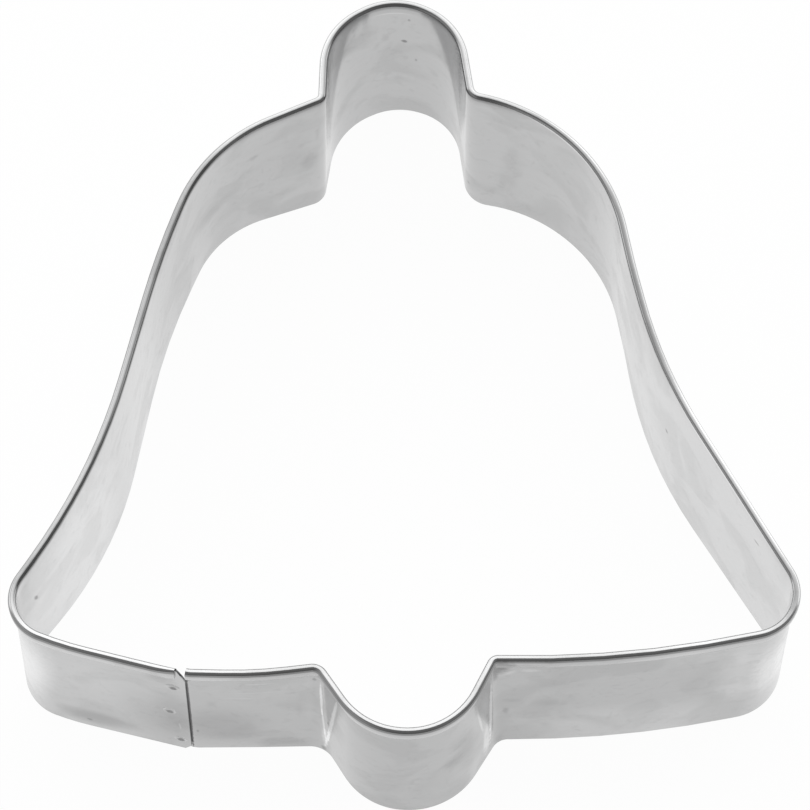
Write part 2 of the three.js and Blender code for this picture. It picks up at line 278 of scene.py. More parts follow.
def strip_bends(bell):
    """The sharp corners that the bends round off, counter-clockwise from the seam. The strip is bent by
    hand, so each strays from its place by (x, y) and has its own radius, in mm, at the rim and at the cut
    edge."""
    shoulder = bell.body_length - bell.shoulder_drop
    haunch = bell.body_length + bell.loop_haunch_rise
    crown = bell.body_length + bell.loop_rise
    mouth = bell.clapper_mouth / 2
    flat = bell.clapper_flat / 2
    lip = bell.lip_width / 2
    waist = bell.waist_width / 2
    broad = bell.shoulder_width / 2
    foot = bell.loop_foot_width / 2
    loop = bell.loop_width / 2
    return {
        "tongue bow": Bend(-bell.tongue_bow_offset, 0, (0, -1.15, 40), (0, -0.6, 40)),
        "clapper left corner": Bend(-mouth, 0, (0.1, -0.4, 1.4), (0.4, -0.5, 2.6)),
        "clapper left": Bend(-flat, -bell.clapper_drop, (0.35, 0.2, 9.1), (0.35, 0, 8.7)),
        "clapper right": Bend(flat, -bell.clapper_drop, (0.35, -0.2, 8.9), (0.35, -0.4, 9.3)),
        "clapper right corner": Bend(mouth, 0, (0.1, 0.4, 1), (0.9, 0.2, 1.8)),
        "base bow": Bend(bell.base_bow_offset, 0, (0, 0.1, 100), (0, 0.2, 100)),
        "right lip": Bend(lip, bell.lip_rise, (0.15, -0.1, 4.1), (0.85, -0.1, 5.2)),
        "right hip": Bend(bell.right_hip_offset, bell.right_hip_rise, (0, 0, 51), (-0.4, 0, 43)),
        "right waist": Bend(waist, bell.waist_rise, (-0.85, -0.7, 46), (-0.45, -0.6, 46)),
        "right shoulder": Bend(broad, shoulder, (-0.3, 1.3, 17.1), (0.3, 0.8, 15.8)),
        "right loop foot": Bend(foot, bell.body_length, (-0.8, 0.2, 1.5), (-0.6, -0.9, 2.6)),
        "right haunch": Bend(loop, haunch, (-1.39, 0.1, 6.2), (-1.27, 0.15, 5.7)),
        "loop crown": Bend(0, crown, (-1, 0.15, 6), (-0.9, -1, 6.2)),
        "left haunch": Bend(-loop, haunch, (-1.11, -0.39, 6.2), (-0.55, -0.6, 7)),
        "left loop foot": Bend(-foot, bell.body_length, (-0.8, -0.2, 1.1), (-1.2, -0.8, 1.7)),
        "left shoulder": Bend(-broad, shoulder, (-0.3, -1.3, 15.6), (0, -0.5, 10.5)),
        "left waist": Bend(-waist, bell.waist_rise, (-0.85, 0.8, 88), (-1.35, 1, 64)),
        "left hip": Bend(-bell.left_hip_offset, bell.left_hip_rise, (0, 0, 62), (0.8, 0.7, 38)),
        "left lip": Bend(-lip, bell.lip_rise, (0.15, 0.2, 3.7), (-0.65, 0.7, 5.3)),
        "flap bow": Bend(-bell.flap_bow_offset, bell.flap_bow_rise, (0, 0, 32), (0, 0.3, 30)),
        "flap end": Bend(-bell.seam_offset, 0, (0, -1.2, 0), (0.1, -0.85, 0)),
    }


def unit(step):
    return step / abs(step)


def outward(along):
    """The direction to the right of a walk along the strip, which is the outside of the bell."""
    return -1j * along


def strip_corners(settings, at_edge):
    """All corners from the tongue's end to the flap's end. The tongue lies behind the flap, in line
    with it."""
    strip = settings.strip
    corners = []
    for bend in strip_bends(settings.bell).values():
        stray_x, stray_y, radius = bend.edge if at_edge else bend.rim
        corners.append(Corner(complex(bend.x + stray_x * MM, bend.y + stray_y * MM), radius * MM))
    flap_end = corners[-1].point
    along = unit(flap_end - corners[-2].point)
    behind = flap_end - outward(along) * (strip.sheet + strip.lap_gap)
    bend_start = strip.hem_clearance + strip.seam_bend_run
    tongue = [
        Corner(behind - along * strip.lap_length, 0),
        Corner(behind + along * strip.hem_clearance, 0),
        Corner(behind + along * bend_start, strip.seam_bend_radius),
    ]
    return tongue + corners


def hem_radius(strip):
    """Outer radius of the rim's fold."""
    return strip.sheet + strip.hem_bore / 2


def roundings(corners, least_radius):
    """Each corner's turn, its radius and the run that its rounding takes up on either side."""
    found = []
    last = len(corners) - 1
    for i, (point, radius) in enumerate(corners):
        before = unit(point - corners[i - 1].point) if i else unit(corners[1].point - point)
        after = unit(corners[i + 1].point - point) if i < last else before
        turn = cmath.phase(after / before)
        if turn < 0 and radius:
            radius = max(radius, least_radius)
        found.append(Rounding(point, before, turn, radius, radius * math.tan(abs(turn) / 2)))
    kept = [1.0] * len(found)
    for i in range(1, len(found)):
        room = BENT_SHARE * abs(found[i].point - found[i - 1].point)
        taken = found[i].take + found[i - 1].take
        if taken > room:
            kept[i - 1] = min(kept[i - 1], room / taken)
            kept[i] = min(kept[i], room / taken)
    return [bend._replace(radius=bend.radius * k, take=bend.take * k) for bend, k in zip(found, kept)]


def bend_points(bend, steps):
    """Points along one rounded corner."""
    if not bend.take:
        return [bend.point]
    start = bend.point - bend.before * bend.take
    inwards = 1j * bend.before * math.copysign(bend.radius, bend.turn)
    turns = (cmath.rect(1, bend.turn * k / steps) for k in range(steps + 1))
    return [start + inwards - inwards * turn for turn in turns]


def strip_lines(settings):
    """The sheet's middle line at the rim and at the cut edge, with one station for each on the same fold of
    the wall, and the number of the station where the hem starts. The middle of the outline is at 0."""
    strip = settings.strip
    least_radius = 2 * hem_radius(strip)
    bent = [roundings(strip_corners(settings, at_edge), least_radius) for at_edge in (False, True)]
    lines = [[], []]
    hem_start = 0
    for i, pair in enumerate(zip(*bent)):
        steps = max(1, math.ceil(max(abs(bend.turn) for bend in pair) / BEND_STEP))
        rounded = [bend_points(bend, steps if bend.take else 0) for bend in pair]
        if i:
            runs = [points[0] - line[-1] for points, line in zip(rounded, lines)]
            flats = max(1, math.ceil(max(abs(run) for run in runs) / RUN_STEP))
            for line, run in zip(lines, runs):
                begin = line[-1]
                line.extend(begin + run * k / flats for k in range(1, flats))
        if i == 1:
            hem_start = len(lines[0])
        for line, points in zip(lines, rounded):
            line.extend(points)
    middle = outline_middle(lines, strip)
    return [[point - middle for point in line] for line in lines], hem_start


def outline_middle(lines, strip):
    """The middle of the box around the rim and the cut edge, seen from above."""
    reaches = (2 * hem_radius(strip) - strip.sheet / 2, strip.sheet / 2)
    xs, ys = [], []
    for line, reach in zip(lines, reaches):
        for here, there in zip(line, line[1:]):
            outer = here + outward(unit(there - here)) * reach
            xs.append(outer.real)
            ys.append(outer.imag)
    return complex(min(xs) + max(xs), min(ys) + max(ys)) / 2


def strip_section(strip):
    """The sheet's middle line across the strip, as (outwards, height): up the wall, over the fold, and
    down a slow curl to the folded-back edge. The wall has one row at the tongue's height."""
    radius = hem_radius(strip) - strip.sheet / 2
    crown = strip.wall_height - hem_radius(strip)
    tongue_top = strip.wall_height - strip.hem_depth - strip.tongue_relief
    wall = [(0, tongue_top * k / WALL_ROWS) for k in range(WALL_ROWS)]
    wall += [(0, tongue_top + (crown - tongue_top) * k / SHOULDER_ROWS) for k in range(SHOULDER_ROWS)]
    fold = []
    for k in range(FOLD_STEPS):
        around = cmath.rect(radius, math.pi * (1 - k / FOLD_STEPS))
        fold.append((radius + around.real, crown + around.imag))
    inward = 2 * radius - strip.sheet - strip.hem_edge_gap
    drop = crown - (strip.wall_height - strip.hem_depth)
    curl = (drop ** 2 + inward ** 2) / (2 * inward)
    curl_turn = math.asin(drop / curl)
    back = []
    for k in range(RETURN_ROWS + 1):
        around = cmath.rect(curl, -curl_turn * k / RETURN_ROWS)
        back.append((2 * radius - curl + around.real, crown + around.imag))
    return wall + fold + back


# Node trees

class NodeWriter:
    """Writes nodes into one tree. An input is a plain value, or a socket to link from."""

    def __init__(self, tree):
        self.tree = tree
        self.column = 0

    def node(self, kind, inputs=None, **settings):
        made = self.tree.nodes.new(kind)
        made.location = (NODE_SPACING * self.column, 0)
        self.column += 1
        for name, value in settings.items():
            setattr(made, name, value)
        for key, value in (inputs or {}).items():
            if isinstance(value, bpy.types.NodeSocket):
                self.tree.links.new(value, made.inputs[key])
            else:
                made.inputs[key].default_value = value
        return made

    def math(self, operation, *values, clamp=False):
        made = self.node("ShaderNodeMath", dict(enumerate(values)), operation=operation, use_clamp=clamp)
        return made.outputs[0]

    def vector(self, operation, *values):
        made = self.node("ShaderNodeVectorMath", dict(enumerate(values)), operation=operation)
        return made.outputs[0]

    def scaled(self, vector, scale):
        made = self.node("ShaderNodeVectorMath", {0: vector, "Scale": scale}, operation="SCALE")
        return made.outputs[0]

    def integer(self, operation, *values):
        made = self.node("FunctionNodeIntegerMath", dict(enumerate(values)), operation=operation)
        return made.outputs[0]

    def spread(self, value, low, high, to_low, to_high):
        """A smooth step of value from one range to another."""
        made = self.node(
            "ShaderNodeMapRange",
            {0: value, 1: low, 2: high, 3: to_low, 4: to_high},
            interpolation_type="SMOOTHSTEP",
        )
        return made.outputs[0]


def new_tree(name, kind, inputs, output, output_kind):
    """A tree with its inputs as (name, socket type, description) and one output, to be written into."""
    tree = bpy.data.node_groups.new(name, kind)
    tree.interface.new_socket(output, in_out="OUTPUT", socket_type=output_kind)
    for socket, socket_kind, about in inputs:
        tree.interface.new_socket(socket, in_out="INPUT", socket_type=socket_kind, description=about)
    w = NodeWriter(tree)
    return tree, w, w.node("NodeGroupInput").outputs


def curve_of(w, holder):
    return w.node("GeometryNodeObjectInfo", {"Object": holder}).outputs["Geometry"]


def points_of(w, curve):
    """The number of a curve's points."""
    size = w.node("GeometryNodeAttributeDomainSize", {"Geometry": curve}, component="CURVE")
    return size.outputs["Point Count"]


def sample(w, curve, value, at, data_type="FLOAT_VECTOR"):
    """A value at one of a curve's points."""
    inputs = {"Geometry": curve, "Value": value, "Index": at}
    return w.node("GeometryNodeSampleIndex", inputs, data_type=data_type, clamp=True).outputs[0]


def parts_of(w, vector):
    return w.node("ShaderNodeSeparateXYZ", {0: vector}).outputs


def seeded_noise(w, place, seed, noise):
    """Noise about 0 that the seed picks."""
    made = w.node("ShaderNodeTexNoise", {"Vector": place, "W": seed, **noise}, noise_dimensions="4D")
    return w.math("SUBTRACT", made.outputs[0], 0.5)


def shape_grid(w, grid, shaped, map_name, flat):
    """The grid with its points moved into shape and their places stored on a flat map."""
    on_points = w.node("GeometryNodeFieldOnDomain", {0: flat}, data_type="FLOAT_VECTOR", domain="POINT")
    mapped = w.node(
        "GeometryNodeStoreNamedAttribute",
        {"Geometry": grid.outputs["Mesh"], "Name": map_name, "Value": on_points.outputs[0]},
        data_type="FLOAT2",
        domain="CORNER",
    )
    return w.node("GeometryNodeSetPosition", {"Geometry": mapped.outputs[0], "Position": shaped}).outputs[0]


def finish_tree(w, geometry, finish):
    """Ends a tree with smooth shading, plain geometry and a material."""
    smooth = w.node("GeometryNodeSetShadeSmooth", {"Geometry": geometry})
    real = w.node("GeometryNodeRealizeInstances", {"Geometry": smooth.outputs[0]})
    finished = w.node("GeometryNodeSetMaterial", {"Geometry": real.outputs[0], "Material": finish})
    w.node("NodeGroupOutput", {0: finished.outputs[0]})


def hemmed_strip_tree():
    """A wall ruled between a rim line and a cut-edge line, with a section that folds over at the rim. The
    fold is left off the tongue, and the flap's end is cut to shape."""
    inputs = [
        ("Rim line", "NodeSocketObject", "Sheet's middle line at the rim"),
        ("Cut-edge line", "NodeSocketObject", "Sheet's middle line at the cut edge"),
        ("Section", "NodeSocketObject", "Sheet's middle line across the strip"),
        ("Wall height", "NodeSocketFloat", "From the cut edge to the crown of the rim"),
        ("Hem start", "NodeSocketInt", "Station where the hem starts"),
        ("Tongue height", "NodeSocketFloat", "From the cut edge to the tongue's top"),
        ("Clip along", "NodeSocketFloat", "Slanted cut at the flap's rim, along the strip"),
        ("Clip down", "NodeSocketFloat", "Slanted cut at the flap's rim, down the wall"),
        ("Corner radius", "NodeSocketFloat", "Radius of the flap's corner at the cut edge"),
        ("Pinch", "NodeSocketFloat", "How far the fold is pressed shut at the flap's end"),
        ("Fold radius", "NodeSocketFloat", "From the fold's middle to the sheet's middle"),
        ("Waviness", "NodeSocketFloat", "How far the wall strays from flat"),
        ("Wave span", "NodeSocketFloat", "Distance over which the wall strays"),
        ("Seed", "NodeSocketInt", "Picks the wall's unevenness"),
        ("Finish", "NodeSocketMaterial", "Material of the strip"),
    ]
    tree, w, given = new_tree("Hemmed strip", "GeometryNodeTree", inputs, "Geometry", "NodeSocketGeometry")
    rim = curve_of(w, given["Rim line"])
    edge = curve_of(w, given["Cut-edge line"])
    section = curve_of(w, given["Section"])
    stations = points_of(w, rim)
    rows = points_of(w, section)
    grid = w.node("GeometryNodeMeshGrid", {"Vertices X": stations, "Vertices Y": rows})
    index = w.node("GeometryNodeInputIndex").outputs[0]
    station = w.integer("DIVIDE_FLOOR", index, rows)
    row = w.integer("MODULO", index, rows)
    position = w.node("GeometryNodeInputPosition").outputs[0]
    tangent = w.node("GeometryNodeInputTangent").outputs[0]
    walked = w.node("GeometryNodeSplineParameter").outputs["Length"]
    across = parts_of(w, sample(w, section, position, row))
    out, height = across["X"], across["Z"]
    up_share = w.math("DIVIDE", height, given["Wall height"])

    def ruled(field):
        ends = {0: up_share, 4: sample(w, edge, field, station), 5: sample(w, rim, field, station)}
        return w.node("ShaderNodeMix", ends, data_type="VECTOR", clamp_factor=False).outputs[1]

    along = ruled(tangent)
    foot = ruled(position)

    # unevenness of the hand-bent wall
    rim_walk = sample(w, rim, walked, station, "FLOAT")
    edge_walk = sample(w, edge, walked, station, "FLOAT")
    walk = w.math("MULTIPLY_ADD", w.math("SUBTRACT", rim_walk, edge_walk), up_share, edge_walk)
    place = w.node("ShaderNodeCombineXYZ", {0: walk, 1: height}).outputs[0]
    steps = w.vector("DIVIDE", place, given["Wave span"])
    stray = w.math("MULTIPLY", seeded_noise(w, steps, given["Seed"], WALL_NOISE), given["Waviness"])

    # the slanted cut at the flap's rim and the round at its foot draw in the last of the strip
    clip_from = w.math("SUBTRACT", given["Wall height"], given["Clip down"])
    over = w.math("MAXIMUM", w.math("SUBTRACT", height, clip_from), 0.0)
    slant = w.math("DIVIDE", over, given["Clip down"])
    folded = w.math("DIVIDE", out, given["Fold radius"], clamp=True)
    clipped = w.math("MULTIPLY_ADD", folded, w.math("SUBTRACT", 1.0, slant), slant)
    slanted = w.math("MULTIPLY", clipped, given["Clip along"])
    under = w.math("MAXIMUM", w.math("SUBTRACT", given["Corner radius"], height), 0.0)
    square = w.math("SUBTRACT", w.math("POWER", given["Corner radius"], 2.0), w.math("POWER", under, 2.0))
    filed = w.math("SUBTRACT", given["Corner radius"], w.math("SQRT", square))
    last = w.integer("SUBTRACT", stations, 1)
    to_end = w.math("SUBTRACT", sample(w, rim, walked, last, "FLOAT"), rim_walk)
    near = w.math("SUBTRACT", 1.0, w.math("DIVIDE", to_end, FLAP_DRAW), clamp=True)
    drawn = w.math("MULTIPLY", w.math("ADD", slanted, filed), w.math("MULTIPLY", near, -1.0))

    pressed = w.math("SUBTRACT", 1.0, w.math("MULTIPLY", w.math("POWER", near, 2.0), given["Pinch"]))
    raised = w.node("ShaderNodeCombineXYZ", {2: height}).outputs[0]
    facing = w.vector("CROSS_PRODUCT", along, UP)
    aside = w.scaled(facing, w.math("MULTIPLY_ADD", out, pressed, stray))
    shaped = w.vector("ADD", w.vector("ADD", foot, raised), w.vector("ADD", aside, w.scaled(along, drawn)))
    unrolled = sample(w, section, walked, row, "FLOAT")
    flat = w.node("ShaderNodeCombineXYZ", {0: walk, 1: unrolled}).outputs[0]
    placed = shape_grid(w, grid, shaped, STRIP_MAP, flat)

    on_tongue = w.math("LESS_THAN", station, given["Hem start"])
    on_fold = w.math("GREATER_THAN", height, w.math("ADD", given["Tongue height"], NOTCH_MARGIN))
    notch = {"Geometry": placed, "Selection": w.math("MULTIPLY", on_tongue, on_fold)}
    notched = w.node("GeometryNodeDeleteGeometry", notch, domain="POINT")
    finish_tree(w, notched.outputs[0], given["Finish"])
    return tree


def spot_weld_tree():
    """A section turned once around an axis, a little out of round."""
    inputs = [
        ("Section", "NodeSocketObject", "Half of the weld's outline"),
        ("Sides", "NodeSocketInt", "Flats around the weld"),
        ("Centre", "NodeSocketVector", "Where the weld meets the flap's outer face"),
        ("Facing", "NodeSocketVector", "Direction that the dent faces"),
        ("Unevenness", "NodeSocketFloat", "How far the weld strays from round"),
        ("Seed", "NodeSocketInt", "Picks the weld's unevenness"),
        ("Finish", "NodeSocketMaterial", "Material of the weld"),
    ]
    tree, w, given = new_tree("Spot weld", "GeometryNodeTree", inputs, "Geometry", "NodeSocketGeometry")
    section = curve_of(w, given["Section"])
    rows = points_of(w, section)
    columns = w.integer("ADD", given["Sides"], 1)
    grid = w.node("GeometryNodeMeshGrid", {"Vertices X": columns, "Vertices Y": rows})
    index = w.node("GeometryNodeInputIndex").outputs[0]
    row = w.integer("MODULO", index, rows)
    turn = w.math("DIVIDE", w.integer("DIVIDE_FLOOR", index, rows), given["Sides"])
    angle_round = w.math("MULTIPLY", turn, 2 * math.pi)
    position = w.node("GeometryNodeInputPosition").outputs[0]
    across = parts_of(w, sample(w, section, position, row))
    cosine = w.math("COSINE", angle_round)
    sine = w.math("SINE", angle_round)
    around = w.node("ShaderNodeCombineXYZ", {0: cosine, 1: sine}).outputs[0]
    noise = seeded_noise(w, around, given["Seed"], WELD_NOISE)
    reach = w.math("MULTIPLY", across["X"], w.math("MULTIPLY_ADD", noise, given["Unevenness"], 1.0))
    side = w.vector("CROSS_PRODUCT", UP, given["Facing"])
    level = w.scaled(side, w.math("MULTIPLY", cosine, reach))
    upright = w.scaled(UP, w.math("MULTIPLY", sine, reach))
    disc = w.vector("ADD", given["Centre"], w.vector("ADD", level, upright))
    shaped = w.vector("ADD", disc, w.scaled(given["Facing"], across["Z"]))
    placed = shape_grid(w, grid, shaped, WELD_MAP, w.scaled(around, across["X"]))
    joined = w.node("GeometryNodeMergeByDistance", {"Geometry": placed, "Distance": MERGE_DISTANCE})
    finish_tree(w, joined.outputs[0], given["Finish"])
    return tree


def grow(piece, tree, values):
    """Adds a tree to a piece as its first modifier, with its inputs set by their identifiers."""
    modifier = piece.modifiers.new(tree.name, "NODES")
    modifier.node_group = tree
    for item in tree.interface.items_tree:
        if item.in_out == "INPUT":
            modifier[item.identifier] = values[item.name]


def settle(piece):
    """Turns what a piece's modifiers make of it into its own plain mesh, and removes them."""
    bpy.context.view_layer.update()
    shaped = piece.evaluated_get(bpy.context.evaluated_depsgraph_get())
    mesh = bpy.data.meshes.new_from_object(shaped)
    piece.modifiers.clear()
    empty = piece.data
    piece.data = mesh
    bpy.data.meshes.remove(empty)
    mesh.name = piece.name
    mesh.set_sharp_from_angle(angle=SHARP_ANGLE)
    return piece


def face_outwards(piece):
    """Recalculates the normals of a piece that was spun, because spinning can turn it inside out."""
    shape = bmesh.new()
    shape.from_mesh(piece.data)
    bmesh.ops.recalc_face_normals(shape, faces=shape.faces)
    shape.to_mesh(piece.data)
    shape.free()


def new_piece(name, data):
    piece = bpy.data.objects.new(name, data)
    bpy.context.scene.collection.objects.link(piece)
    return piece


def line_object(name, points):
    """A curve through points, as a tree reads it."""
    data = bpy.data.curves.new(name, "CURVE")
    data.dimensions = "3D"
    spline = data.splines.new("POLY")
    spline.points.add(len(points) - 1)
    for point, place in zip(spline.points, points):
        point.co = (*place, 1)
    return new_piece(name, data)


def remove_pieces(pieces):
    """Removes helper objects with their data."""
    for piece in pieces:
        bpy.data.batch_remove([piece, piece.data])


# Finishes

def new_material(name):
    material = bpy.data.materials.new(name)
    material.use_nodes = True
    material.node_tree.nodes.clear()
    return material, NodeWriter(material.node_tree)


def noise_of(w, place, scale, detail, distortion=0.0):
    inputs = {"Vector": place, "Scale": scale, "Detail": detail, "Distortion": distortion}
    return w.node("ShaderNodeTexNoise", inputs).outputs[0]


# Clouds of stains: their noise, the levels of it between which they fade in, and how strongly they stain
Cloud = namedtuple("Cloud", "scale detail distortion low high strength")
BROAD_STAINS = Cloud(1.0, 3.0, 0.7, 0.45, 0.63, 0.75)
SMALL_STAINS = Cloud(5.5, 2.0, 1.2, 0.56, 0.7, 0.45)

# Steps of the streaks' noise in each mm along the strip and up it, their contrast, and the noise's detail
LONG_STREAKS = (0.09, 1.5, 1.0)
SHORT_STREAKS = (0.45, 3.2, 1.0)
STREAK_CONTRAST = 3.0
STREAK_DETAIL = 2.0

# What the streaks add to the roughness, and how strongly and how deep they are felt in the surface
STREAK_ROUGHNESS = 0.01
STREAK_BUMP = 0.015
STREAK_DEPTH = 0.02 * MM

# Width of a stain on a weld in mm
WELD_STAIN_SPAN = 0.6

# Steps in each mm of the noise that makes a mark's edge ragged, and its detail
EDGE_STEPS = 2.2
EDGE_DETAIL = 2.0


def handling_stains(name):
    """Cloudy stains from handling: 0 where clean, 1 where stained."""
    inputs = [
        ("Place", "NodeSocketVector", "Place on the surface in mm"),
        ("Span", "NodeSocketFloat", "Width of a stain in mm"),
    ]
    tree, w, given = new_tree(name, "ShaderNodeTree", inputs, "Stain", "NodeSocketFloat")
    steps = w.scaled(given["Place"], w.math("DIVIDE", 1.0, given["Span"]))

    def cloudy(cloud):
        noise = noise_of(w, steps, cloud.scale, cloud.detail, cloud.distortion)
        return w.spread(noise, cloud.low, cloud.high, 0.0, 1.0)

    broad = w.math("MULTIPLY", cloudy(BROAD_STAINS), BROAD_STAINS.strength)
    stain = w.math("MULTIPLY_ADD", cloudy(SMALL_STAINS), SMALL_STAINS.strength, broad, clamp=True)
    w.node("NodeGroupOutput", {0: stain})
    return tree


def rolling_streaks(name):
    """Streaks that the rolling mill leaves along the sheet, from -1 to 1."""
    inputs = [("Place", "NodeSocketVector", "Place on the surface in mm")]
    tree, w, given = new_tree(name, "ShaderNodeTree", inputs, "Streak", "NodeSocketFloat")

    def streaky(steps):
        return noise_of(w, w.vector("MULTIPLY", given["Place"], steps), 1.0, STREAK_DETAIL)

    both = w.math("SUBTRACT", w.math("ADD", streaky(LONG_STREAKS), streaky(SHORT_STREAKS)), 1.0)
    w.node("NodeGroupOutput", {0: w.math("MULTIPLY", both, STREAK_CONTRAST)})
    return tree


def oval_mark(name):
    """One oval mark: 1 in its middle, 0 outside, with a ragged edge."""
    inputs = [
        ("Place", "NodeSocketVector", "Place on the surface in mm"),
        ("Centre", "NodeSocketVector", "Middle of the mark in mm"),
        ("Half size", "NodeSocketVector", "From the mark's middle to its edge in mm"),
        ("Turn", "NodeSocketFloat", "Angle that the mark is turned by"),
        ("Softness", "NodeSocketFloat", "Share of the mark over which it fades out"),
        ("Raggedness", "NodeSocketFloat", "How far the mark's edge strays, as a share of its half size"),
    ]
    tree, w, given = new_tree(name, "ShaderNodeTree", inputs, "Mask", "NodeSocketFloat")
    offset = w.vector("SUBTRACT", given["Place"], given["Centre"])
    back = {"Vector": offset, "Angle": w.math("MULTIPLY", given["Turn"], -1.0)}
    turned = w.node("ShaderNodeVectorRotate", back, rotation_type="Z_AXIS").outputs[0]
    shrunk = w.vector("DIVIDE", turned, given["Half size"])
    far = w.node("ShaderNodeVectorMath", {0: shrunk}, operation="LENGTH").outputs["Value"]
    uneven = w.math("SUBTRACT", noise_of(w, given["Place"], EDGE_STEPS, EDGE_DETAIL), 0.5)
    ragged = w.math("MULTIPLY_ADD", uneven, given["Raggedness"], far)
    inside = w.math("SUBTRACT", 1.0, given["Softness"])
    w.node("NodeGroupOutput", {0: w.spread(ragged, inside, 1.0, 1.0, 0.0)})
    return tree


SHADER_GROUPS = {
    "Handling stains": handling_stains,
    "Rolling streaks": rolling_streaks,
    "Oval mark": oval_mark,
}


def group_of(w, name, inputs):
    """Places a shader group in a material. The first material that uses it has it built."""
    tree = bpy.data.node_groups.get(name) or SHADER_GROUPS[name](name)
    return w.node("ShaderNodeGroup", inputs, node_tree=tree).outputs[0]


def tin_look(w, finish, place, stain_span, stained):
    """Colour and roughness of tin under stains and rolling streaks, and the streaks."""
    stain = group_of(w, "Handling stains", {"Place": place, "Span": stain_span})
    streak = group_of(w, "Rolling streaks", {"Place": place})
    tones = {0: stain, 6: (*finish.clean, 1), 7: (*stained, 1)}
    tone = w.node("ShaderNodeMix", tones, data_type="RGBA").outputs[2]
    shade = w.math("MULTIPLY_ADD", streak, finish.grain, 1.0)
    dulled = w.math("MULTIPLY_ADD", stain, finish.dulling, finish.roughness)
    return w.scaled(tone, shade), w.math("MULTIPLY_ADD", streak, STREAK_ROUGHNESS, dulled), streak


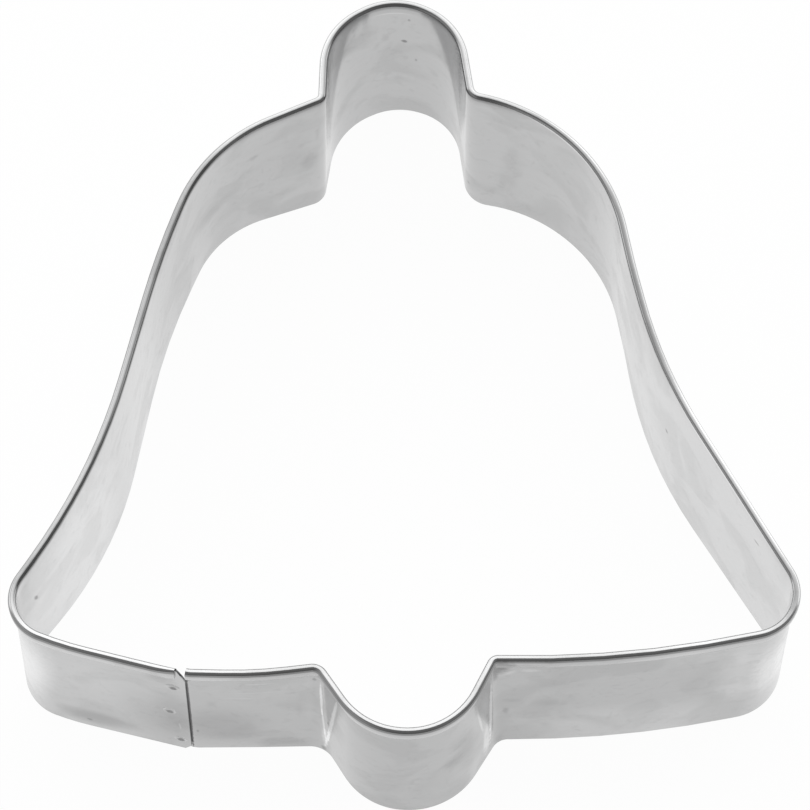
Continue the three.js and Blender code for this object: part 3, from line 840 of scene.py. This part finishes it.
# Marks on the strip: stains and specks, and painted highlights and painted shade on its bends, lips, rim
# and seam. Places are in mm along the strip from the tongue's end and up it from the cut edge.
Mark = namedtuple("Mark", "along height half_length half_height turn softness shade")
MARKS_AND_PAINTED_LIGHT = {
    # Dark line in the seam: painted shadow of the gap beside the flap's edge, with grime in it
    "seam grime and shadow": Mark(3.16, 9, 0.15, 13, 0, 0.4, -0.8),
    "seam blemish": Mark(3.7, 4.4, 0.18, 0.5, 0, 0.8, -0.3),
    # Painted shade over the whole front, which faces the camera and mirrors floor that the cutter shades
    "front painted shade": Mark(28, 10, 36, 18, 0, 0.3, -0.115),
    "base spot": Mark(5.2, 11.4, 0.8, 1.3, 0, 1, -0.1),
    "base dulling": Mark(5.5, 6.2, 6.5, 6, 0, 0.9, -0.2),
    "base shade": Mark(7.5, 3.3, 4.5, 2, 0, 0.9, -0.12),
    # Painted highlight: the upper base wall made lighter than its foot
    "base upper glow": Mark(9, 15, 7, 3, 0, 1, 0.07),
    "base band": Mark(11.3, 1.5, 4.2, 1.3, 0, 0.7, -0.1),
    "base smear": Mark(13.2, 9.1, 0.5, 2.3, 0, 1, -0.06),
    "base streak": Mark(9.5, 16.4, 2, 0.2, 0, 0.8, 0.15),
    "base scratch, upper": Mark(8, 17.6, 3.4, 0.12, 0, 0.8, 0.12),
    "base scratch, middle": Mark(9.2, 14.2, 3, 0.1, 0, 0.8, 0.1),
    "base scratch, lower": Mark(7.6, 12.9, 2.2, 0.1, 0, 0.8, 0.1),
    "base end": Mark(14.2, 12.2, 0.8, 7.3, 0, 0.8, 0.06),
    "base blob": Mark(14.8, 16.6, 0.3, 0.5, 0, 0.8, -0.3),
    # Painted highlights along the clapper's left bend, where the bent tin mirrors the bright studio
    "left crease highlight, upper": Mark(15.44, 12.4, 0.2, 4.6, 0, 0.5, 0.6),
    "left crease highlight, lower": Mark(15.6, 6.4, 0.17, 4.2, 2.6, 0.5, 0.45),
    "left crease arm highlight": Mark(16.97, 9.6, 0.34, 9.5, -8.8, 0.6, 1.05),
    "left crease foot highlight": Mark(15.78, 3.6, 0.62, 2.8, 0, 0.7, 0.35),
    "left crease dot": Mark(16.2, 7.6, 0.16, 0.5, 0, 0.7, -0.5),
    # Darker at the foot of the clapper's left bend
    "left crease dark foot": Mark(15.5, 0.6, 0.4, 0.6, 0, 0.8, -0.4),
    "clapper stain": Mark(30.5, 8.6, 1.9, 2.2, 15, 1, -0.2),
    "clapper smear": Mark(29.8, 8.8, 1.1, 1.2, 0, 1, -0.08),
    # Darkens the clapper's wall
    "clapper darkening": Mark(32.7, 9, 2.8, 7, 9, 1, -0.27),
    # Painted highlights along the clapper's right bend, where the bent tin mirrors the bright studio; the
    # glow lightens the dark wedge that the bend mirrors
    "right crease arm highlight": Mark(34.25, 10.7, 0.24, 5, 8.6, 0.6, 0.42),
    "right crease foot highlight": Mark(35.4, 4.2, 0.85, 4.2, 0, 0.7, 0.55),
    "right crease glow": Mark(35.3, 11.5, 1.2, 5.5, 0, 0.9, 0.18),
    "right crease speck": Mark(35.6, 9.2, 0.2, 0.3, 0, 0.7, -0.4),
    # Painted highlight along the clapper's right bend
    "right crease": Mark(36.3, 9, 0.32, 7.5, -1.9, 0.6, 1.2),
    # Painted shade under the rim at the clapper's right corner, where the puckered hem shades the wall, and
    # a painted highlight on the crescent that the bend mirrors
    "right corner shade": Mark(37.4, 17.2, 1.5, 1.7, 0, 0.7, -0.45),
    "right corner fold shade": Mark(37.6, 21.3, 2.2, 1.3, 0, 0.6, -0.5),
    "right corner shadow band": Mark(40, 21.4, 2.6, 0.9, 0, 0.8, -0.2),
    "right corner crescent highlight": Mark(38.4, 16, 1.4, 0.4, 40, 0.8, 0.15),
    "right corner crease shade": Mark(37.05, 15.6, 0.5, 1.5, 0, 0.8, -0.35),
    "right corner spot": Mark(38.1, 7.1, 0.5, 1.2, 0, 1, -0.25),
    "right corner smear": Mark(38.7, 9.5, 1.4, 0.7, 0, 1, -0.1),
    "right corner foot": Mark(37.3, 0.8, 0.8, 1.4, 0, 1, -0.14),
    "right corner streak": Mark(40.4, 16.6, 1.3, 0.5, 0, 0.8, 0.2),
    "base right upper": Mark(43, 13, 4, 2.5, 0, 1, -0.06),
    "base right blob": Mark(42.3, 8.8, 2.4, 1.3, 0, 1, -0.1),
    "base right foot": Mark(48.8, 2.4, 11.5, 6.2, 0, 0.6, 0.14),
    # Painted highlights on the right lip, which mirrors the floor at a grazing angle
    "right lip sheen": Mark(60, 11, 3.6, 8.5, 0, 1, 0.2),
    "right lip edge highlight": Mark(64.9, 9, 1.9, 7.5, 0, 0.9, 0.36),
    "right lip glow": Mark(63, 9.5, 2.6, 8, 0, 1, 0.42),
    # Painted highlight on the right flank, which mirrors the floor at a grazing angle
    "right flank glow": Mark(81, 8, 21, 18, 0, 0.4, 0.2),
    # Painted highlights on the rim's fold along the right side and shoulder
    "right rim highlight": Mark(80, 19.95, 17, 0.4, 0, 0.4, 0.4),
    "right shoulder highlight": Mark(117, 19.9, 9, 0.45, 0, 0.6, 0.45),
    "right wall dash": Mark(73.9, 16.5, 0.6, 0.22, -10, 0.7, -0.5),
    "right wall smudge": Mark(88, 12.8, 0.3, 0.4, 0, 1, -0.1),
    "right wall speck": Mark(89.8, 10.3, 0.35, 0.35, 0, 0.7, -0.6),
    "loop foot speck": Mark(127.6, 2.4, 0.3, 0.3, 0, 0.7, -0.35),
    "loop speck": Mark(139.2, 10.2, 0.2, 0.35, 0, 0.7, -0.25),
    "loop rim speck": Mark(140.2, 17.5, 0.2, 0.3, 0, 0.7, -0.25),
    "loop dash": Mark(140.5, 13.4, 0.44, 0.34, 0, 0.6, -0.5),
    "loop blotch": Mark(140.9, 6.4, 0.9, 0.8, 0, 1, -0.05),
    "loop smudge": Mark(142.4, 14.2, 0.6, 0.95, 0, 0.8, -0.1),
    "loop stain": Mark(143.3, 12.8, 0.6, 0.8, 0, 1, -0.05),
    "loop forming line": Mark(141.8, 18.6, 2.6, 0.14, 0, 0.8, 0.15),
    # Painted highlights that lighten the dark wedge which the loop's inner wall mirrors
    "loop wedge edge highlight": Mark(146.65, 17.1, 0.6, 2, 19, 0.7, 0.22),
    "loop wedge glow": Mark(145.9, 17.2, 1.4, 2.2, 19, 1, 0.2),
    "left shoulder dulling": Mark(162.6, 11.7, 9, 13, 0, 0.8, -0.05),
    "left shoulder stain": Mark(167.6, 9.2, 4, 2, 0, 1, -0.2),
    "left shoulder spot": Mark(162.5, 14.2, 0.7, 0.7, 0, 0.8, -0.14),
    "left shoulder streak": Mark(155.8, 14, 0.35, 1.6, 0, 1, -0.08),
    "left shoulder patch": Mark(156.3, 9.1, 1.2, 2.2, 0, 0.8, -0.11),
    # Darkens the left wall towards the waist
    "left waist darkening": Mark(177, 10, 12, 18, 0, 0.7, -0.13),
    # Painted highlights on the left flank and hip, which mirror the floor at a grazing angle
    "left flank glow": Mark(197, 8, 20, 18, 0, 0.5, 0.14),
    "left hip glow": Mark(206, 8, 12, 18, 0, 0.6, 0.2),
    "left wall smudge": Mark(210.8, 12.8, 0.35, 0.45, 0, 1, -0.08),
    "left wall speck": Mark(212, 11.9, 0.85, 0.28, 68, 0.7, -0.6),
    "left corner dulling": Mark(215, 10, 3.2, 9, 0, 1, -0.12),
    # Painted highlight on the left lip, which mirrors the floor at a grazing angle
    "left lip glow": Mark(218.1, 9.5, 3.5, 10.5, -11, 0.9, 0.48),
    "flap speck": Mark(223.3, 1.6, 0.4, 0.35, -20, 0.7, -0.35),
    "flap band": Mark(224.2, 2.4, 4.8, 2.2, 0, 0.7, -0.25),
    # Painted highlight: the flap's upper wall made lighter than its foot
    "flap glow": Mark(224.6, 12.7, 4.6, 6.7, 0, 1, 0.06),
    "flap dulling": Mark(231.5, 6, 6.5, 9.5, 0, 1, -0.24),
    "flap end dulling": Mark(232.8, 10, 3.2, 8, 0, 0.9, -0.15),
    "flap corner shade": Mark(231.8, 17, 2.2, 2, 0, 1, -0.2),
    "flap fold shade": Mark(231.8, 21.5, 2, 1.1, 0, 1, -0.2),
    "flap streak": Mark(232.46, 5.5, 0.12, 1, 0, 0.7, 0.3),
}

# How far a mark's edge strays from its oval, as a share of the half size of marks up to 1 mm
RAGGEDNESS = 0.8

# The most that painted highlights and other marks can brighten the metal, which makes it as bright as
# polished tin
POLISHED = 1.75

# Painted shade on the lower slope of a weld's dent and a painted highlight on its upper slope, in mm from
# its middle
WELD_PAINTED_LIGHT = {
    "painted dark crescent": Mark(0.05, -0.3, 0.5, 0.3, 0, 0.6, -0.5),
    "glint": Mark(0.05, 0.32, 0.45, 0.26, 0, 0.7, 0.35),
}

# Painted shade on the rim's fold, which stands in for the dark studio front and the shaded floor inside the
# cutter that the fold mirrors, as (height up the unrolled strip in mm, darkness), where the strip runs
# along the front of the bell, its back, its right side and its left side, and the height that the ramps
# span
FRONT_RIM_SHADE = ((20.18, 0), (20.28, 0.5), (20.42, 0.5), (20.56, 0))
BACK_RIM_SHADE = ((18.6, 0), (19.3, 0.12), (19.62, 0.45), (19.98, 0.4), (20.12, 0))
RIGHT_RIM_SHADE = ((19.7, 0), (19.84, 0.6), (19.95, 0.68), (20.05, 0.68), (20.14, 0.1), (20.3, 0))
LEFT_RIM_SHADE = ((19.2, 0), (19.5, 0.4), (19.62, 0.6), (19.92, 0.65), (20.04, 0.4), (20.4, 0.38), (20.6, 0))
UNROLLED_HEIGHT = 24

# Stretches of the strip in mm from the tongue's end, and the run over which one passes into the next
RIGHT_SIDE = (64, 124)
BACK = (124, 166)
LEFT_SIDE = (166, 217)
PASSING = 6


def ramp_of(w, height, levels):
    ramp = w.node("ShaderNodeValToRGB", {0: w.math("DIVIDE", height, UNROLLED_HEIGHT)})
    stops = ramp.color_ramp.elements
    while len(stops) < len(levels):
        stops.new(1.0)
    for stop, (place, level) in zip(stops, levels):
        stop.position = place / UNROLLED_HEIGHT
        stop.color = (level, level, level, 1)
    return ramp.outputs[0]


def stretch(w, along, limits):
    """1 on one stretch of the strip and 0 off it."""
    start, end = limits
    begun = w.spread(along, start - PASSING / 2, start + PASSING / 2, 0.0, 1.0)
    ended = w.spread(along, end - PASSING / 2, end + PASSING / 2, 0.0, 1.0)
    return w.math("SUBTRACT", begun, ended)


def rim_painted_shade(w, along, height):
    """Painted shade on the rim, in the shoulders of its fold, where they mirror the dark studio front and
    the shaded floor inside the cutter.
    """
    dark = ramp_of(w, height, FRONT_RIM_SHADE)
    for limits, levels in ((RIGHT_SIDE, RIGHT_RIM_SHADE), (BACK, BACK_RIM_SHADE), (LEFT_SIDE, LEFT_RIM_SHADE)):
        here = stretch(w, along, limits)
        there = w.math("MULTIPLY", dark, w.math("SUBTRACT", 1.0, here))
        dark = w.math("MULTIPLY_ADD", ramp_of(w, height, levels), here, there)
    return dark


def marked_and_painted(w, place, marks, shade):
    """A shade with all marks of a surface on it: stains, painted highlights and painted shade."""
    for mark in marks.values():
        mask = group_of(w, "Oval mark", {
            "Place": place,
            "Centre": (mark.along, mark.height, 0),
            "Half size": (mark.half_length, mark.half_height, 1),
            "Turn": math.radians(mark.turn),
            "Softness": mark.softness,
            "Raggedness": RAGGEDNESS / max(1, mark.half_length),
        })
        shade = w.math("MULTIPLY", shade, w.math("MULTIPLY_ADD", mask, mark.shade, 1.0))
    return shade


def flat_place(w, map_name):
    """The place on a piece's flat map, in mm."""
    return w.scaled(w.node("ShaderNodeUVMap", uv_map=map_name).outputs[0], 1 / MM)


def tinplate_finish(finish):
    material, w = new_material("Tinplate")
    place = flat_place(w, STRIP_MAP)
    along, height, _ = parts_of(w, place)
    tone, roughness, streak = tin_look(w, finish, place, finish.stain_span, finish.stained)
    # Painted shade on the rim's fold
    shade = w.math("SUBTRACT", 1.0, rim_painted_shade(w, along, height))
    # Stains, and painted highlights and painted shade, on the strip
    shade = w.math("MINIMUM", marked_and_painted(w, place, MARKS_AND_PAINTED_LIGHT, shade), POLISHED)
    felt = {"Strength": STREAK_BUMP, "Distance": STREAK_DEPTH, "Height": streak}
    shader = w.node("ShaderNodeBsdfPrincipled", {
        "Base Color": w.scaled(tone, shade),
        "Metallic": 1.0,
        "Roughness": roughness,
        "Normal": w.node("ShaderNodeBump", felt).outputs[0],
    })
    w.node("ShaderNodeOutputMaterial", {"Surface": shader.outputs[0]})
    return material


def weld_finish(finish):
    material, w = new_material("Fused tin")
    place = w.scaled(w.node("ShaderNodeTexCoord").outputs["Object"], 1 / MM)
    tone, roughness, _ = tin_look(w, finish, place, WELD_STAIN_SPAN, finish.weld)
    # Painted shade and a painted highlight on the weld's dent
    shade = marked_and_painted(w, flat_place(w, WELD_MAP), WELD_PAINTED_LIGHT, 1.0)
    shader = w.node("ShaderNodeBsdfPrincipled", {
        "Base Color": w.scaled(tone, shade),
        "Metallic": 1.0,
        "Roughness": roughness,
    })
    w.node("ShaderNodeOutputMaterial", {"Surface": shader.outputs[0]})
    return material


def floor_finish(stage):
    """A pale floor that shows its own white to the camera and to the metal, and keeps part of its
    shadow."""
    material, w = new_material("Pale floor")
    light = w.node("ShaderNodeLightPath").outputs
    mirrored = w.math("MAXIMUM", light["Is Glossy Ray"], light["Is Transmission Ray"])
    mirrored = w.math("MULTIPLY", mirrored, 1 - stage.mirrored)
    whitened = w.math("MULTIPLY_ADD", light["Is Camera Ray"], 1 - stage.shadow, mirrored, clamp=True)
    lit = w.node("ShaderNodeBsdfDiffuse", {"Color": (*stage.floor, 1)}).outputs[0]
    white = w.node("ShaderNodeEmission", {"Color": (1, 1, 1, 1), "Strength": 1.0}).outputs[0]
    mixed = w.node("ShaderNodeMixShader", {0: whitened, 1: lit, 2: white})
    w.node("ShaderNodeOutputMaterial", {"Surface": mixed.outputs[0]})
    return material


# Pieces

def flap_facing(lines):
    """The direction that the flap's end faces, from the cut edge's line."""
    facing = outward(unit(lines[1][-1] - lines[1][-2]))
    return Vector((facing.real, facing.imag, 0))


WELD_NODES = ("spot_weld_upper", "spot_weld_middle", "spot_weld_lower")


def weld_place(settings, node):
    """Where a weld meets the flap's outer face, and the direction that it faces."""
    lines, _ = strip_lines(settings)
    facing = flap_facing(lines)
    low, high = (Vector(corner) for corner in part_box(node))
    centre = (low + high) / 2
    up_share = centre.z / settings.strip.wall_height
    end = lines[1][-1] * (1 - up_share) + lines[0][-1] * up_share
    inside = (Vector((end.real, end.imag, centre.z)) - centre).dot(facing)
    return centre + facing * (inside + settings.strip.sheet / 2), facing


def weld_section(settings):
    """Half of a weld's outline as (outwards, height over the flap): the dent, its lip, the nugget through
    both sheets, and the flat head behind."""
    weld = settings.weld
    strip = settings.strip
    radius = weld.diameter / 2
    rim = radius + weld.lip_width
    dish = radius - weld.lip_width / 2
    through = -2 * strip.sheet - strip.lap_gap - weld.lift
    parts = [k / DISH_STEPS for k in range(DISH_STEPS + 1)]
    front = [(dish * part, weld.dent * (part ** 2 - 1)) for part in parts]
    slope = (radius + weld.lip_width / 2, weld.lip * LIP_SLOPE)
    lip = [(radius, weld.lip), slope, (rim, weld.lift), (radius, weld.lift)]
    behind = [(radius, through), (rim, through), (radius, through - weld.lip), (0, through - weld.lip)]
    return front + lip + behind


def weld_holes(settings):
    """One object that fills the holes for all the welds."""
    weld = settings.weld
    strip = settings.strip
    radius = weld.diameter / 2 + weld.clearance
    shape = bmesh.new()
    for node in WELD_NODES:
        centre, facing = weld_place(settings, node)
        middle = centre - facing * (strip.sheet + strip.lap_gap / 2)
        turn = facing.to_track_quat("Z", "Y").to_matrix().to_4x4()
        bmesh.ops.create_cone(shape, cap_ends=True, segments=WELD_SIDES, radius1=radius, radius2=radius,
                              depth=HOLE_SHEETS * strip.sheet, matrix=Matrix.Translation(middle) @ turn)
    mesh = bpy.data.meshes.new("weld_holes")
    shape.to_mesh(mesh)
    shape.free()
    return new_piece("weld_holes", mesh)


class CUTTER_OT_tinplate_strip(bpy.types.Operator):
    """Make the hemmed tinplate strip, bent to the bell's outline and lapped at its seam"""

    bl_idname = "cutter.tinplate_strip"
    bl_label = "Tinplate strip"

    def execute(self, context):
        settings = context.scene.bell_cutter
        strip = settings.strip
        (rim, edge), hem_start = strip_lines(settings)
        guides = [
            line_object("rim_line", [(point.real, point.imag, 0) for point in rim]),
            line_object("cut_edge_line", [(point.real, point.imag, 0) for point in edge]),
            line_object("section_line", [(out, 0, height) for out, height in strip_section(strip)]),
        ]
        band = new_piece("tinplate_strip", bpy.data.meshes.new("tinplate_strip"))
        grow(band, hemmed_strip_tree(), {
            "Rim line": guides[0],
            "Cut-edge line": guides[1],
            "Section": guides[2],
            "Wall height": strip.wall_height,
            "Hem start": hem_start,
            "Tongue height": strip.wall_height - strip.hem_depth - strip.tongue_relief,
            "Clip along": strip.flap_clip_along,
            "Clip down": strip.flap_clip_down,
            "Corner radius": strip.flap_corner,
            "Pinch": strip.pinch,
            "Fold radius": hem_radius(strip) - strip.sheet / 2,
            "Waviness": strip.waviness,
            "Wave span": strip.wave_span,
            "Seed": strip.seed,
            "Finish": tinplate_finish(settings.finish),
        })
        wall = band.modifiers.new("Sheet", "SOLIDIFY")
        wall.thickness = strip.sheet
        wall.offset = 0
        wall.use_even_offset = True
        holes = weld_holes(settings)
        drilled = band.modifiers.new("Weld holes", "BOOLEAN")
        drilled.operation = "DIFFERENCE"
        drilled.solver = "EXACT"
        drilled.object = holes
        settle(band)
        remove_pieces([*guides, holes])
        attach(band, BODY)
        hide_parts("cutter_band")
        return {"FINISHED"}


class CUTTER_OT_spot_welds(bpy.types.Operator):
    """Make the three spot welds that hold the flap to the tongue"""

    bl_idname = "cutter.spot_welds"
    bl_label = "Spot welds"

    def execute(self, context):
        settings = context.scene.bell_cutter
        weld = settings.weld
        section = line_object("weld_section", [(out, 0, high) for out, high in weld_section(settings)])
        tree = spot_weld_tree()
        finish = weld_finish(settings.finish)
        for number, node in enumerate(WELD_NODES):
            centre, facing = weld_place(settings, node)
            piece = new_piece(node + "_mark", bpy.data.meshes.new(node + "_mark"))
            grow(piece, tree, {
                "Section": section,
                "Sides": WELD_SIDES,
                "Centre": centre,
                "Facing": facing,
                "Unevenness": weld.unevenness,
                "Seed": weld.seed + number,
                "Finish": finish,
            })
            face_outwards(settle(piece))
            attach(piece, BODY)
            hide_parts(node)
        remove_pieces([section])
        return {"FINISHED"}


class CUTTER_OT_studio_stage(bpy.types.Operator):
    """Make the floor, the studio light and the camera"""

    bl_idname = "cutter.studio_stage"
    bl_label = "Studio stage"

    def execute(self, context):
        stage = context.scene.bell_cutter.stage
        make_floor(stage)
        make_world(context.scene, stage)
        make_softbox(stage)
        make_camera(context.scene, stage)
        context.scene.view_settings.view_transform = "Standard"
        return {"FINISHED"}


def make_floor(stage):
    mesh = bpy.data.meshes.new("floor")
    half = stage.floor_size / 2
    corners = [(-half, -half, 0), (half, -half, 0), (half, half, 0), (-half, half, 0)]
    mesh.from_pydata(corners, [], [(0, 1, 2, 3)])
    mesh.materials.append(floor_finish(stage))
    new_piece("floor", mesh)


def make_world(scene, stage):
    """A studio that is dark in front of the cutter and bright behind it, with a little light from the
    sides."""
    world = bpy.data.worlds.new("Studio")
    world.use_nodes = True
    world.node_tree.nodes.clear()
    w = NodeWriter(world.node_tree)
    looked = w.node("ShaderNodeTexCoord").outputs["Generated"]
    x, y, z = parts_of(w, looked)
    near, far = SIDE_EDGE
    back = w.spread(z, *BACK_RISE, stage.back_low, stage.back_high)
    level = w.math("MULTIPLY_ADD", w.spread(y, *BACK_EDGE, 0.0, 1.0), back, stage.front)
    level = w.math("MULTIPLY_ADD", w.spread(x, -near, -far, 0.0, 1.0), stage.left, level)
    level = w.math("MULTIPLY_ADD", w.spread(x, near, far, 0.0, 1.0), stage.right, level)
    shown = w.node("ShaderNodeBackground", {"Color": (1, 1, 1, 1), "Strength": level})
    w.node("ShaderNodeOutputWorld", {"Surface": shown.outputs[0]})
    scene.world = world


def make_softbox(stage):
    softbox = bpy.data.lights.new("softbox", "AREA")
    softbox.size = stage.softbox_size
    # an area light's face shines with its power over pi times its area
    softbox.energy = stage.softbox_radiance * math.pi * stage.softbox_size ** 2
    lamp = new_piece("softbox", softbox)
    tilt = Matrix.Rotation(stage.softbox_elevation - math.pi / 2, 4, "X")
    lamp.matrix_world = tilt @ Matrix.Translation((0, 0, stage.softbox_distance))
    lamp.visible_camera = False


def make_camera(scene, stage):
    camera = bpy.data.cameras.new("camera")
    camera.sensor_width = SENSOR_WIDTH
    camera.lens = stage.lens
    holder = new_piece("camera", camera)
    looked_at = Vector((stage.look_x, stage.look_y, stage.look_z))
    tilt = Matrix.Rotation(math.pi / 2 - stage.elevation, 4, "X") @ Matrix.Rotation(stage.roll, 4, "Z")
    holder.matrix_world = Matrix.Translation(looked_at) @ tilt @ Matrix.Translation((0, 0, stage.distance))
    scene.camera = holder


class CUTTER_PT_sidebar(bpy.types.Panel):
    """Lists the cutter's pieces and its stage"""

    bl_label = "Bell cookie cutter"
    bl_space_type = "VIEW_3D"
    bl_region_type = "UI"
    bl_category = "Cutter"

    def draw(self, context):
        for operator in OPERATORS:
            self.layout.operator(operator.bl_idname)


OPERATORS = (CUTTER_OT_tinplate_strip, CUTTER_OT_spot_welds, CUTTER_OT_studio_stage)
GROUPS = (StripSizes, BellSizes, WeldSizes, TinplateFinish, StageSettings, CutterSettings)
CLASSES = (*GROUPS, *OPERATORS, CUTTER_PT_sidebar)


def register():
    for cls in CLASSES:
        bpy.utils.register_class(cls)
    bpy.types.Scene.bell_cutter = bpy.props.PointerProperty(type=CutterSettings)


def unregister():
    del bpy.types.Scene.bell_cutter
    for cls in reversed(CLASSES):
        bpy.utils.unregister_class(cls)


def main():
    register()
    bpy.ops.cutter.tinplate_strip()
    bpy.ops.cutter.spot_welds()
    bpy.ops.cutter.studio_stage()


if __name__ == "__main__":
    main()
